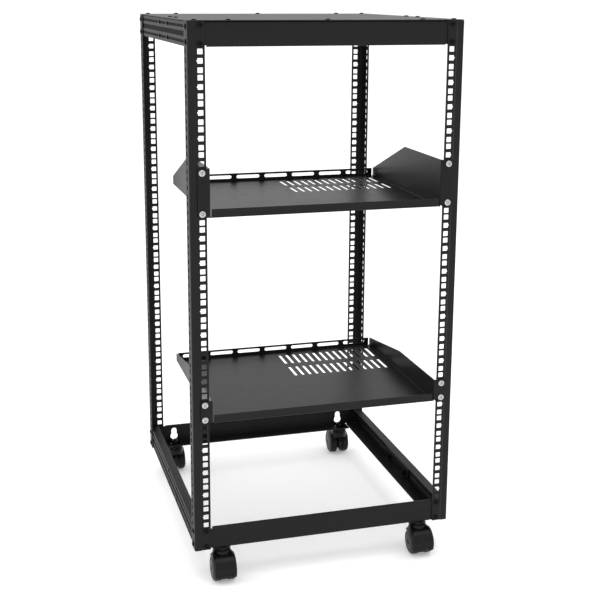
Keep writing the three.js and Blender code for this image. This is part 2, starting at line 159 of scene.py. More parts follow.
FRAME_SCREW = (5.0, 2.9, 2.5, 9.0)  # head's radius and height, shank's radius and length
PANEL_SCREW = (4.6, 2.4, 2.2, 6.0)
SHELF_SCREW_HEAD = 3.6  # height of the whole head
SHELF_SCREW = (6.0, SHELF_SCREW_HEAD - 0.1, 2.8, 15.0)
PANEL_SCREWS_ACROSS = (-240.0, -180.0, 0.0, 180.0, 240.0)
PANEL_SCREWS_ALONG = (190.0, 250.0)  # from the front face, along each side
PANEL_SCREW_FRONT = 15.0
PANEL_SCREW_REAR = 17.0
FLOOR_GLOW = 0.22  # the floor is a lit white table, so that shadows stay faint


def corners(node):
    """A CAD node's lowest and highest corners in millimetres."""
    low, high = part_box(node)
    return [v / MM for v in low], [v / MM for v in high]


post_low, post_high = corners("post_front_left")
HALF_WIDTH = -post_low[0]
HALF_DEPTH = -post_low[1]
FRAME_BOTTOM = post_low[2]
FRAME_TOP = post_high[2]
OPENING_TOP = FRAME_TOP - RACK_UNIT
HOLE_ROWS = [
    (OPENING_TOP - unit * RACK_UNIT - step, step == HOLE_STEPS[1])
    for unit in range(20)
    for step in HOLE_STEPS
]

# ---------------------------------------------------------------- materials


def linear(level):
    """The linear value of a grey from 0 to 255."""
    c = level / 255
    return c / 12.92 if c <= 0.04045 else ((c + 0.055) / 1.055) ** 2.4


def node(tree, kind, **settings):
    made = tree.nodes.new(kind)
    for key, value in settings.items():
        setattr(made, key, value)
    return made


def shader(name):
    material = bpy.data.materials.new(name)
    material.use_nodes = True
    tree = material.node_tree
    return material, tree, tree.nodes["Principled BSDF"]


def noise(tree, scale, detail=3.0, roughness=0.55):
    where = node(tree, "ShaderNodeTexCoord")
    made = node(tree, "ShaderNodeTexNoise")
    made.inputs["Scale"].default_value = scale
    made.inputs["Detail"].default_value = detail
    made.inputs["Roughness"].default_value = roughness
    tree.links.new(where.outputs["Object"], made.inputs["Vector"])
    return made.outputs["Fac"]


def spread(tree, value, low, high, start=0.0, end=1.0):
    """Moves a value from the range start..end to low..high."""
    made = node(tree, "ShaderNodeMapRange")
    made.inputs["From Min"].default_value = start
    made.inputs["From Max"].default_value = end
    made.inputs["To Min"].default_value = low
    made.inputs["To Max"].default_value = high
    tree.links.new(value, made.inputs["Value"])
    return made.outputs["Result"]


def mixed(tree, share, first, second):
    """A colour between two greys or sockets."""
    made = node(tree, "ShaderNodeMix", data_type="RGBA")
    tree.links.new(share, made.inputs["Factor"])
    for socket, value in ((made.inputs["A"], first), (made.inputs["B"], second)):
        if isinstance(value, tuple):
            socket.default_value = (*value, 1)
        else:
            tree.links.new(value, socket)
    return made.outputs["Result"]


def bumped(tree, bsdf, layers):
    """Stacks bumps: each layer is a height socket, its strength and its depth in metres."""
    before = None
    for height, strength, depth in layers:
        made = node(tree, "ShaderNodeBump")
        made.inputs["Strength"].default_value = strength
        made.inputs["Distance"].default_value = depth
        tree.links.new(height, made.inputs["Height"])
        if before is not None:
            tree.links.new(before, made.inputs["Normal"])
        before = made.outputs["Normal"]
    tree.links.new(before, bsdf.inputs["Normal"])


def combined(tree, operation, first, second):
    """A math node on two sockets or numbers."""
    made = node(tree, "ShaderNodeMath", operation=operation)
    for socket, value in zip(made.inputs, (first, second)):
        if isinstance(value, float):
            socket.default_value = value
        else:
            tree.links.new(value, socket)
    return made.outputs["Value"]


def rib_shade_mask(tree):
    """Painted shade for a rail's ribs: 1 in the hollows of its three ribs and 0 elsewhere, from heights
    over its box.
    """
    where = node(tree, "ShaderNodeTexCoord")
    parts = node(tree, "ShaderNodeSeparateXYZ")
    tree.links.new(where.outputs["Generated"], parts.inputs["Vector"])
    off = combined(tree, "SUBTRACT", parts.outputs["Z"], 0.5)
    off = combined(tree, "ABSOLUTE", off, 0.0)
    middle = spread(tree, off, 1, 0, 0.09, 0.115)
    aside = combined(tree, "SUBTRACT", off, RIB_PITCH / RAIL_HEIGHT)
    aside = combined(tree, "ABSOLUTE", aside, 0.0)
    narrow = spread(tree, aside, 1, 0, 0.045, 0.07)
    return combined(tree, "MAXIMUM", middle, narrow)


def powder_coat(name, tone, worn, roughness, level, grain=0.08, painted_rib_bands=False):
    """Black powder coat: a fine grain, edges rubbed a little lighter, and rougher hollows with painted
    shade, where the specular is turned down.
    """
    material, tree, bsdf = shader(name)
    slow = noise(tree, 9.0, 4.0)
    fine = noise(tree, 1500.0, 2.0)
    body = mixed(tree, spread(tree, slow, 0, 1, 0.3, 0.7), tone, tuple(1.15 * v for v in tone))
    edge = node(tree, "ShaderNodeNewGeometry").outputs["Pointiness"]
    rubbed = spread(tree, edge, 0, 0.6, 0.54, 0.62)
    tree.links.new(mixed(tree, rubbed, body, worn), bsdf.inputs["Base Color"])
    # painted shade: in a rail's rib bands, or where pointiness finds a hollow crease, the specular drops
    # to 0.3 of its level
    painted_shade = rib_shade_mask(tree) if painted_rib_bands else spread(tree, edge, 1, 0, 0.44, 0.49)
    tree.links.new(spread(tree, painted_shade, level, 0.3 * level), bsdf.inputs["Specular IOR Level"])
    gloss = spread(tree, noise(tree, 60.0), roughness - 0.015, roughness + 0.015, 0.3, 0.7)
    dull = combined(tree, "ADD", gloss, spread(tree, painted_shade, 0, 0.22))
    tree.links.new(dull, bsdf.inputs["Roughness"])
    bumped(tree, bsdf, [(noise(tree, 260.0, 2.0), 0.03, 0.0001), (fine, grain, 0.0001)])
    return material


def metal(name, tone, roughness, streaks):
    """Bare or plated steel with a faint mottle and fine turning marks."""
    material, tree, bsdf = shader(name)
    bsdf.inputs["Metallic"].default_value = 1.0
    mottle = noise(tree, 420.0, 4.0)
    share = spread(tree, mottle, 0, 1, 0.35, 0.65)
    tree.links.new(mixed(tree, share, tuple(0.78 * v for v in tone), tone), bsdf.inputs["Base Color"])
    gloss = spread(tree, mottle, roughness - 0.07, roughness + 0.09, 0.3, 0.7)
    tree.links.new(gloss, bsdf.inputs["Roughness"])
    bumped(tree, bsdf, [(noise(tree, streaks, 3.0), 0.12, 0.0001)])
    return material


def moulded(name, tone, roughness, level, grain, depth):
    """Moulded black plastic with a spark-eroded grain and handling marks in its gloss."""
    material, tree, bsdf = shader(name)
    bsdf.inputs["Specular IOR Level"].default_value = level
    slow = noise(tree, 35.0, 4.0)
    colour = mixed(tree, spread(tree, slow, 0, 1, 0.3, 0.7), tone, tuple(1.4 * v for v in tone))
    tree.links.new(colour, bsdf.inputs["Base Color"])
    gloss = spread(tree, slow, roughness - 0.06, roughness + 0.08, 0.3, 0.7)
    tree.links.new(gloss, bsdf.inputs["Roughness"])
    bumped(tree, bsdf, [(noise(tree, grain, 2.0), depth, 0.00015)])
    return material


def grey(level):
    return (linear(level),) * 3


FRAME_COAT = powder_coat("frame_powder_coat", grey(16), grey(56), 0.50, 0.20)
# the rails' coat: the frame's powder coat with painted shade in the bands of the ribs
RAIL_COAT_RIB_SHADE = powder_coat("rail_coat_with_painted_rib_shade", grey(16), grey(56), 0.50, 0.20, painted_rib_bands=True)
PANEL_COAT = powder_coat("panel_powder_coat", grey(20), grey(58), 0.46, 0.28, 0.05)
SHELF_COAT = powder_coat("shelf_powder_coat", grey(12), grey(46), 0.36, 0.20, 0.05)
ZINC = metal("zinc_plate", (0.52, 0.53, 0.55), 0.2, 700.0)
BLACK_STEEL = metal("black_oxide_steel", (0.014, 0.014, 0.015), 0.2, 700.0)
CAGE_STEEL = metal("spring_steel", (0.36, 0.36, 0.38), 0.33, 900.0)
HOOD_PLASTIC = moulded("hood_plastic", grey(8), 0.24, 0.20, 900.0, 0.05)
WHEEL_PLASTIC = moulded("wheel_plastic", grey(10), 0.32, 0.18, 700.0, 0.08)

# ---------------------------------------------------------------- mesh helpers


def piece(name, mesh, material, body, slot, *replaced):
    """Puts a mesh in the scene as a named piece that rides on a body."""
    obj = bpy.data.objects.new(name, mesh)
    bpy.context.scene.collection.objects.link(obj)
    mesh.name = name
    mesh.materials.clear()
    mesh.materials.append(material)
    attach(obj, body)
    if replaced:
        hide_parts(*replaced)
    return obj


def baked(mesh, *modifiers):
    """The mesh with modifiers applied. Each is a kind and its settings."""
    carrier = bpy.data.objects.new("carrier", mesh)
    bpy.context.scene.collection.objects.link(carrier)
    for kind, settings in modifiers:
        modifier = carrier.modifiers.new(kind, kind)
        for key, value in settings.items():
            setattr(modifier, key, value)
    seen = carrier.evaluated_get(bpy.context.evaluated_depsgraph_get())
    made = bpy.data.meshes.new_from_object(seen)
    bpy.data.objects.remove(carrier)
    bpy.data.meshes.remove(mesh)
    return made


def smooth(mesh):
    mesh.polygons.foreach_set("use_smooth", [True] * len(mesh.polygons))
    return mesh


def softened(mesh, edge, angle=40, segments=2, clamped=False):
    """Rounds the sharp edges and lets flat faces keep flat shading."""
    smooth(mesh)
    bevel = {
        "width": edge * MM,
        "segments": segments,
        "limit_method": "ANGLE",
        "angle_limit": math.radians(angle),
        "use_clamp_overlap": clamped,
    }
    return baked(mesh, ("BEVEL", bevel), ("WEIGHTED_NORMAL", {"weight": 90, "keep_sharp": True}))


def from_bmesh(bm):
    mesh = bpy.data.meshes.new("made")
    bm.to_mesh(mesh)
    bm.free()
    return mesh


def joined(meshes):
    """Several meshes as one, each kept whole."""
    whole = bmesh.new()
    for mesh in meshes:
        whole.from_mesh(mesh)
        bpy.data.meshes.remove(mesh)
    return smooth(from_bmesh(whole))


def moved(mesh, matrix):
    """A copy of the mesh in another place."""
    copy = mesh.copy()
    copy.transform(matrix)
    if matrix.determinant() < 0:
        copy.flip_normals()
    return copy


def turned(profile, sides=48):
    """A closed profile of radius and height turned about Z. It starts and ends on the axis or closes."""
    bm = bmesh.new()
    rings = []
    for radius, height in profile:
        if radius < 1e-6:
            rings.append([bm.verts.new((0, 0, height * MM))])
            continue
        ring = []
        for i in range(sides):
            angle = 2 * math.pi * i / sides
            spot = (radius * math.cos(angle), radius * math.sin(angle), height)
            ring.append(bm.verts.new(Vector(spot) * MM))
        rings.append(ring)
    pairs = list(zip(rings, rings[1:]))
    if len(rings[0]) > 1:
        pairs.append((rings[-1], rings[0]))
    for lower, upper in pairs:
        for i in range(sides):
            j = (i + 1) % sides
            ring = [lower[i % len(lower)], lower[j % len(lower)]]
            ring += [upper[j % len(upper)], upper[i % len(upper)]]
            corner_list = list(dict.fromkeys(ring))
            if len(corner_list) > 2:
                bm.faces.new(corner_list)
    bmesh.ops.recalc_face_normals(bm, faces=bm.faces)
    return smooth(from_bmesh(bm))


def solid_prism(outline, low, high):
    """An outline in X and Y, raised from low to high along Z."""
    bm = bmesh.new()
    rings = [[bm.verts.new(Vector((x, y, z)) * MM) for x, y in outline] for z in (low, high)]
    bm.faces.new(rings[0])
    bm.faces.new(rings[1])
    count = len(outline)
    for i in range(count):
        j = (i + 1) % count
        bm.faces.new([rings[0][i], rings[0][j], rings[1][j], rings[1][i]])
    bmesh.ops.recalc_face_normals(bm, faces=bm.faces)
    return from_bmesh(bm)


def carved(mesh, *cutters):
    """The mesh with other closed meshes cut from it."""
    for cutter in cutters:
        tool = bpy.data.objects.new("cutter", cutter)
        bpy.context.scene.collection.objects.link(tool)
        cut = {"object": tool, "operation": "DIFFERENCE", "solver": "EXACT"}
        mesh = baked(mesh, ("BOOLEAN", cut))
        bpy.data.objects.remove(tool)
        bpy.data.meshes.remove(cutter)
    return mesh


# ---------------------------------------------------------------- folded sheet metal


def arc(u, v, radius, start, end, steps):
    """Points on an arc, with angles in degrees."""
    angles = [math.radians(start + (end - start) * i / steps) for i in range(steps + 1)]
    return [(u + radius * math.cos(a), v + radius * math.sin(a)) for a in angles]


def round_slot(u, v, length, width):
    """A slot along u with round ends."""
    half = (length - width) / 2
    return arc(u + half, v, width / 2, -90, 90, 8) + arc(u - half, v, width / 2, 90, 270, 8)


def rounded_box(u0, u1, v0, v1, radius, steps=3):
    return (
        arc(u1 - radius, v0 + radius, radius, -90, 0, steps)
        + arc(u1 - radius, v1 - radius, radius, 0, 90, steps)
        + arc(u0 + radius, v1 - radius, radius, 90, 180, steps)
        + arc(u0 + radius, v0 + radius, radius, 180, 270, steps)
    )


def inside(spots, loop):
    """Which spots lie inside a closed loop."""
    u, v = spots[:, 0], spots[:, 1]
    result = np.zeros(len(spots), bool)
    for (u0, v0), (u1, v1) in zip(loop, loop[1:] + loop[:1]):
        if v0 != v1:
            crosses = (v0 > v) != (v1 > v)
            result ^= crosses & (u < u0 + (v - v0) * (u1 - u0) / (v1 - v0))
    return result


def flat_blank(outer, holes, folds):
    """A sheet's flat blank as triangles, with an edge along every fold line."""
    spots, edges = [], []
    for loop in [outer, *holes]:
        first, count = len(spots), len(loop)
        spots += loop
        edges += [(first + i, first + (i + 1) % count) for i in range(count)]
    for start, end in folds:
        edges.append((len(spots), len(spots) + 1))
        spots += [start, end]
    found = delaunay_2d_cdt([Vector(spot) for spot in spots], edges, [], 0, 1e-5)
    flat = np.array([v[:] for v in found[0]])
    triangles = np.array(found[2])
    middles = flat[triangles].mean(axis=1)
    kept = inside(middles, outer)
    for hole in holes:
        kept &= ~inside(middles, hole)
    return flat, triangles[kept]


def folded_sheet(outer, holes, folds, bend, thickness, edge=EDGE):
    """Cuts a flat blank, bends it, and thickens it. bend gives a blank's point in space."""
    flat, triangles = flat_blank(outer, holes, folds)
    bm = bmesh.new()
    verts = {i: bm.verts.new(Vector(bend(*flat[i])) * MM) for i in np.unique(triangles)}
    for triangle in triangles:
        bm.faces.new([verts[i] for i in triangle])
    bmesh.ops.dissolve_limit(
        bm, angle_limit=math.radians(1), verts=bm.verts, edges=bm.edges, delimit=set()
    )
    wall = {"thickness": thickness * MM, "offset": 0.0, "use_even_offset": True}
    return softened(baked(from_bmesh(bm), ("SOLIDIFY", wall)), edge)


def rounded(points, radius):
    """A path with its corners rounded off, as a sheet's middle line through its folds."""
    path = [tuple(points[0])]
    for before, corner, after in zip(points, points[1:], points[2:]):
        tip = Vector(corner)
        back = (Vector(before) - tip).normalized()
        ahead = (Vector(after) - tip).normalized()
        half = back.angle(ahead) / 2
        turn = math.pi - 2 * half
        centre = tip + (back + ahead).normalized() * (radius / math.sin(half))
        start = tip + back * (radius / math.tan(half)) - centre
        end = tip + ahead * (radius / math.tan(half)) - centre
        steps = max(2, math.ceil(turn / FOLD_STEP))
        for i in range(steps + 1):
            a = math.sin(turn * (1 - i / steps)) / math.sin(turn)
            b = math.sin(turn * i / steps) / math.sin(turn)
            path.append(tuple(centre + start * a + end * b))
    path.append(tuple(points[-1]))
    return path


def distances(path):
    """How far along the path each of its points is."""
    return np.concatenate([[0], np.cumsum(np.linalg.norm(np.diff(np.array(path), axis=0), axis=1))])


def folded_strip(path, outer, holes, place, thickness=FRAME_SHEET):
    """A long sheet with the same folds all along it. Blank points are (along the path, along t)."""
    knots = distances(path)
    ps, qs = zip(*path)
    reach = [t for _, t in outer]
    folds = [((s, min(reach) - 1), (s, max(reach) + 1)) for s in knots[1:-1]]

    def bend(s, t):
        return place(np.interp(s, knots, ps), np.interp(s, knots, qs), t)

    return folded_sheet(outer, holes, folds, bend, thickness)


# ---------------------------------------------------------------- posts


def square_hole(u, v, half, notched=False):
    """A square hole. A notched one has a half-round bite in its outer edge."""
    loop = rounded_box(u - half, u + half, v - half, v + half, HOLE_CORNER, 2)
    if notched:
        corner = 9  # the bite goes between the loop's third and fourth corners
        loop[corner:corner] = arc(u - half, v, NOTCH_RADIUS, 90, 270, 8)
    return loop


def add_posts():
    half = FRAME_SHEET / 2
    path = rounded(
        [
            (half, POST_SIDE),
            (half, half),
            (POST_JOG_AT - POST_JOG / 2, half),
            (POST_JOG_AT + POST_JOG / 2, half + POST_JOG),
            (POST_FACE, half + POST_JOG),
        ],
        FOLD_RADIUS,
    )
    length = distances(path)[-1]
    face_column = length - (POST_FACE - (HALF_WIDTH - HOLE_COLUMN))
    side_column = POST_SIDE - SIDE_HOLE_DEPTH
    holes = [square_hole(face_column, z, HOLE_HALF, notched) for z, notched in HOLE_ROWS]
    holes += [square_hole(side_column, z, SIDE_HOLE_HALF) for z, _ in HOLE_ROWS]
    outer = rounded_box(0, length, FRAME_BOTTOM, FRAME_TOP, EAR_CORNER)
    for end, away in ENDS.items():
        for side, across in SIDES.items():

            def place(p, q, t):
                return (across * (HALF_WIDTH - p), away * (HALF_DEPTH - q), t)

            name = f"post_{end}_{side}"
            mesh = folded_strip(path, outer, holes, place)
            piece(f"{name}_steel", mesh, FRAME_COAT, "frame", "frame_coat", name)


# ---------------------------------------------------------------- front and rear beams


def keyhole(x):
    round_z, round_radius = KEYHOLE_ROUND
    neck_z, neck_radius = KEYHOLE_NECK
    meet = math.degrees(math.asin(neck_radius / round_radius))
    neck = arc(neck_z, x, neck_radius, -90, 90, 12)
    bulb = arc(round_z, x, round_radius, meet, 360 - meet, 28)
    return neck + bulb


def add_beams():
    for end, away in ENDS.items():
        for level in ("bottom", "top"):
            name = f"beam_{end}_{level}"
            low, high = corners(name)
            height = high[2] - low[2]
            half_length = high[0]
            web_face = HALF_DEPTH - max(abs(low[1]), abs(high[1]))
            half = FRAME_SHEET / 2
            path = rounded(
                [
                    (web_face + BEAM_FLANGE, half),
                    (web_face + half, half),
                    (web_face + half, height - half),
                    (web_face + BEAM_LIP, height - half),
                ],
                FOLD_RADIUS,
            )
            knots = distances(path)
            bends = (len(path) - 2) // 2
            web_start, web_end = knots[bends], knots[bends + 1]
            right = [
                (0, FLANGE_HALF),
                (web_start, FLANGE_HALF),
                (web_start, half_length),
                (web_end, half_length),
                (web_end, LIP_HALF),
                (knots[-1], LIP_HALF),
            ]
            outer = [(s, -t) for s, t in right] + right[::-1]
            holes = []
            if level == "bottom":
                middle = BEAM_FLANGE / 2
                holes += [arc(middle, x, STEM_HOLE, 0, 345, 23) for x in (-KEYHOLE_X, KEYHOLE_X)]
            if end == "rear":
                web_zero = web_start - half - FOLD_RADIUS
                for x in (-KEYHOLE_X, KEYHOLE_X):
                    loop = keyhole(x)
                    flip = height if level == "top" else 0
                    holes.append([(web_zero + abs(flip - z), t) for z, t in loop])

            def place(p, q, t):
                z = low[2] + q if level == "bottom" else high[2] - q
                return (t, away * (HALF_DEPTH - p), z)

            mesh = folded_strip(path, outer, holes, place)
            piece(f"{name}_steel", mesh, FRAME_COAT, "frame", "frame_coat", name)


# ---------------------------------------------------------------- side rails


def add_rails():
    half = FRAME_SHEET / 2
    for side, across in SIDES.items():
        for level in ("bottom", "top"):
            for end in ENDS:
                name = f"rail_{side}_{level}_{end}"
                low, high = corners(name)
                height = high[2] - low[2]
                outer_x = max(abs(low[0]), abs(high[0]))
                points = [(RAIL_WIDE_FLANGE, half), (half, half)]
                for middle, width in RIBS:
                    centre = height / 2 + middle
                    points += [
                        (half, centre - width / 2 - RIB_DEPTH),
                        (half + RIB_DEPTH, centre - width / 2),
                        (half + RIB_DEPTH, centre + width / 2),
                        (half, centre + width / 2 + RIB_DEPTH),
                    ]
                points += [(half, height - half), (RAIL_NARROW_FLANGE, height - half)]
                path = rounded(points, RAIL_FOLD)
                length = distances(path)[-1]
                outer = [(0, low[1]), (length, low[1]), (length, high[1]), (0, high[1])]

                def place(p, q, t):
                    z = low[2] + q if level == "bottom" else high[2] - q
                    return (across * (outer_x - p), t, z)

                mesh = folded_strip(path, outer, [], place)
                piece(f"{name}_steel", mesh, RAIL_COAT_RIB_SHADE, "frame", "frame_coat", name)


# ---------------------------------------------------------------- top panel


def add_top_panel():
    low, high = corners("top_panel")
    middle = (low[2] + high[2]) / 2
    outer = rounded_box(low[0], high[0], low[1], high[1], 3.0)
    mesh = folded_sheet(outer, [], [], lambda x, y: (x, y, middle), high[2] - low[2], 0.4)
    piece("top_panel_steel", mesh, PANEL_COAT, "frame", "panel_coat", "top_panel")


# ---------------------------------------------------------------- shelves


def add_shelf(name):
    """A tray bent from one blank: the floor's walls, lip and stop fold up, the ears fold out."""
    node_name = f"shelf_{name}"
    low, high = corners(node_name)
    half = SHELF_SHEET / 2
    radius = FOLD_RADIUS
    fold = radius * math.pi / 2  # the blank's length in one fold
    wall_x = SHELF_HALF - half
    front_y = low[1] + half
    back_y = high[1] - half
    floor_z = low[2] + half
    wide = wall_x - radius  # where the side folds start
    near = front_y + radius
    far = back_y - radius

    def up(z):
        """How far past the start of a fold the height z over the shelf's underside is."""
        return fold + z - half - radius

    def bent(s):
        """Out and up along a fold that starts at s = 0."""
        if s <= 0:
            return s, 0.0
        if s < fold:
            return radius * math.sin(s / radius), radius * (1 - math.cos(s / radius))
        return radius, radius + s - fold

    def bend(u, v):
        hand = math.copysign(1, u)
        past_side = abs(u) - wide
        if v < near and past_side > 0.1:  # an ear: level with the wall, folded out
            reach, out = bent(near - v)
            return (hand * (wall_x + out), near - reach, floor_z + radius + past_side - fold)
        if past_side > 0:
            out, rise = bent(past_side)
            return (hand * (wide + out), v, floor_z + rise)
        if v < near:
            out, rise = bent(near - v)
            return (u, near - out, floor_z + rise)
        if v > far:
            out, rise = bent(v - far)
            return (u, far + out, floor_z + rise)
        return (u, v, floor_z)

    ear_low = wide + fold - radius + half + 0.4
    top = wide + up(high[2] - low[2])
    ear_end = near - fold - (EAR_REACH - wall_x - radius)
    slope_start = SHELF_LEVEL - HALF_DEPTH
    right = [
        (wide - RELIEF, near - up(SHELF_LIP)),
        (wide - RELIEF, near),
        (wide + fold, near),
        (wide + fold, near - fold),
        (ear_low, near - fold - 0.3),
    ]
    right += arc(ear_low + EAR_CORNER, ear_end + EAR_CORNER, EAR_CORNER, 180, 270, 3)
    right += arc(top - EAR_CORNER, ear_end + EAR_CORNER, EAR_CORNER, 270, 360, 3)
    right += [
        (top, slope_start),
        (wide + up(SHELF_STOP), high[1]),
        (wide, high[1]),
        (wide, far),
        (wide - RELIEF, far),
        (wide - RELIEF, far + up(SHELF_STOP)),
    ]
    outer = right + [(-u, v) for u, v in reversed(right)]
    holes = [
        round_slot(i * LACING_PITCH, far + up(LACING_HEIGHT), LACING_LENGTH, LACING_WIDTH)
        for i in range(-3, 4)
    ]
    for row in VENT_ROWS:
        for i in range(VENT_COUNT):
            vent = round_slot(row - HALF_DEPTH, VENT_FIRST_X + i * VENT_PITCH, VENT_LENGTH, VENT_WIDTH)
            holes.append([(x, y) for y, x in vent])
    for label in ("high", "low"):
        screw_low, screw_high = corners(f"shelf_{name}_screw_left_{label}")
        height = (screw_low[2] + screw_high[2]) / 2 - low[2]
        out = near - fold - (HOLE_COLUMN - wall_x - radius)
        for hand in (-1, 1):
            holes.append(arc(hand * (wide + up(height)), out, EAR_SCREW_HOLE, 0, 345, 23))
    steps = [fold * i / 6 for i in range(7)]
    edges = [wide + s for s in steps]
    span = top + 1
    folds = [((hand * u, ear_end - 1), (hand * u, high[1] + 1)) for hand in (-1, 1) for u in edges]
    folds += [((-span, near - s), (span, near - s)) for s in steps]
    folds += [((-wide, far + s), (wide, far + s)) for s in steps]
    mesh = folded_sheet(outer, holes, folds, bend, SHELF_SHEET)
    piece(f"{node_name}_steel", mesh, SHELF_COAT, "frame", "shelf_coat", node_name)


# ---------------------------------------------------------------- screws, nuts and cage nuts


def cross_recess(radius, depth, top):
    """The cutter of a cross recess that narrows as it goes down."""
    bm = bmesh.new()
    rings = []
    for z, scale in ((top + 0.5, 1.06), (top - depth, 0.42)):
        arm, width = radius * scale, 0.26 * radius * (0.4 + 0.6 * scale)
        quarter = [(arm, -width), (arm, width), (width, width)]
        ring = []
        for turn in range(4):
            c, s = round(math.cos(turn * math.pi / 2)), round(math.sin(turn * math.pi / 2))
            ring += [bm.verts.new(Vector((c * x - s * y, s * x + c * y, z)) * MM) for x, y in quarter]
        rings.append(ring)
    bm.faces.new(rings[0])
    bm.faces.new(rings[1])
    for i in range(12):
        j = (i + 1) % 12
        bm.faces.new([rings[0][i], rings[0][j], rings[1][j], rings[1][i]])
    bmesh.ops.recalc_face_normals(bm, faces=bm.faces)
    return from_bmesh(bm)


def pan_head(radius, height, shank, length):
    """A pan-head screw with a cross recess; its head's underside is at z = 0, its top at z = height."""
    rim = 0.42 * height
    dome = [
        (radius * math.sin(a), rim + (height - rim) * math.cos(a))
        for a in [math.radians(step) for step in range(0, 91, 9)]
    ]
    profile = [(0, height)] + dome[1:] + [(radius, 0.3), (radius - 0.3, 0), (shank, 0)]
    profile += [(shank, -length + 0.8), (shank - 0.8, -length), (0, -length)]
    cut = carved(turned(profile), cross_recess(0.55 * radius, 0.62 * height, height))
    return softened(cut, 0.12, 35, 1)


def aimed(x, y, z, direction):
    """The place of a screw whose head faces a direction, with its recess at some angle."""
    turn = Matrix.Rotation(chance.uniform(0, math.pi / 2), 4, "Z")
    face = Vector(direction).to_track_quat("Z", "Y").to_matrix().to_4x4()
    return Matrix.Translation(Vector((x, y, z)) * MM) @ face @ turn


def screws(name, template, places, material, slot, *replaced):
    meshes = [moved(template, place) for place in places]
    return piece(name, joined(meshes), material, "frame", slot, *replaced)


def hexagon(across, low, high, bore):
    """A hex nut about Z with its corners turned off."""
    radius = across / math.sqrt(3)
    outline = arc(0, 0, radius, 0, 300, 5)
    nut = solid_prism(outline, low, high)
    nut = carved(nut, turned([(0, low - 1), (bore, low - 1), (bore, high + 1), (0, high + 1)], 24))
    return softened(nut, 0.4, 30, 2)


def add_frame_screws():
    head = pan_head(*FRAME_SCREW)
    rail_low, rail_high = corners("rail_left_bottom_front")
    rail_half = (rail_high[2] - rail_low[2]) / 2
    near, _, far = HOLE_STEPS
    beam_rows = (FRAME_TOP - near, FRAME_TOP - far, FRAME_BOTTOM + far, FRAME_BOTTOM + near)
    rail_rows = [
        middle + step
        for middle in (FRAME_BOTTOM + rail_half, FRAME_TOP - rail_half)
        for step in (-RIB_PITCH, RIB_PITCH)
    ]
    for end, away in ENDS.items():
        for side, across in SIDES.items():
            face = away * (HALF_DEPTH - POST_JOG)
            spots = [aimed(across * HOLE_COLUMN, face, z, (0, away, 0)) for z in beam_rows]
            flank = away * (HALF_DEPTH - RAIL_END_SCREW)
            spots += [aimed(across * HALF_WIDTH, flank, z, (across, 0, 0)) for z in rail_rows]
            screws(f"post_screws_{end}_{side}", head, spots, BLACK_STEEL, "black_steel")
    for side, across in SIDES.items():
        low, high = corners(f"splice_{side}_bottom")
        joint = (low[1] + high[1]) / 2
        web = abs(rail_low[0])
        for level, middle in (("bottom", FRAME_BOTTOM + rail_half), ("top", FRAME_TOP - rail_half)):
            spots = [
                aimed(across * (web - RIB_DEPTH), joint + along, middle + step, (across, 0, 0))
                for along in (-JOINT_SCREW, JOINT_SCREW)
                for step in (-RIB_PITCH, RIB_PITCH)
            ]
            screws(f"joint_screws_{side}_{level}", head, spots, BLACK_STEEL, "black_steel")
    bpy.data.meshes.remove(head)


def add_panel_screws():
    head = pan_head(*PANEL_SCREW)
    top = corners("top_panel")[1][2]
    spots = [(x, PANEL_SCREW_FRONT - HALF_DEPTH) for x in PANEL_SCREWS_ACROSS]
    spots += [(x, HALF_DEPTH - PANEL_SCREW_REAR) for x in PANEL_SCREWS_ACROSS]
    spots += [(-PANEL_SCREWS_ACROSS[-1], y - HALF_DEPTH) for y in PANEL_SCREWS_ALONG]
    spots += [(PANEL_SCREWS_ACROSS[-1], y - HALF_DEPTH) for y in PANEL_SCREWS_ALONG]
    places = [aimed(x, y, top, (0, 0, 1)) for x, y in spots]
    screws("panel_screws", head, places, BLACK_STEEL, "black_steel")
    bpy.data.meshes.remove(head)


def cage_nut():
    """A square nut in a spring cage, about Z, its flange against the post at z = 0."""
    nut = solid_prism(rounded_box(-4.4, 4.4, -4.4, 4.4, 0.6), 1.2, 5.6)
    nut = softened(carved(nut, turned([(0, 0), (2.6, 0), (2.6, 7), (0, 7)], 24)), 0.25)
    path = rounded([(-7.6, 0.5), (-5.2, 0.5), (-5.2, 6.3), (5.2, 6.3), (5.2, 0.5), (7.6, 0.5)], 0.8)
    length = distances(path)[-1]
    outer = [(0, -4.2), (length, -4.2), (length, 4.2), (0, 4.2)]
    bore = arc(length / 2, 0, 3.2, 0, 345, 23)
    cage = folded_strip(path, outer, [bore], lambda p, q, t: (p, t, q), 0.6)
    return joined([nut, cage])


def add_shelf_screws():
    head = pan_head(*SHELF_SCREW)
    nut = cage_nut()
    for name in ("upper", "lower"):
        for side in SIDES:
            backs = []
            for label in ("high", "low"):
                node_name = f"shelf_{name}_screw_{side}_{label}"
                low, high = corners(node_name)
                x, z = (low[0] + high[0]) / 2, (low[2] + high[2]) / 2
                spot = [aimed(x, low[1] + SHELF_SCREW_HEAD, z, (0, -1, 0))]
                screws(f"{node_name}_head", head, spot, ZINC, "zinc", node_name)
                inner = POST_JOG + FRAME_SHEET - HALF_DEPTH
                back = Matrix.Translation(Vector((x, inner, z)) * MM)
                backs.append(moved(nut, back @ Matrix.Rotation(-math.pi / 2, 4, "X")))
            cages = joined(backs)
            piece(f"cage_nuts_{name}_{side}", cages, CAGE_STEEL, "frame", "zinc")
    bpy.data.meshes.remove(head)
    bpy.data.meshes.remove(nut)


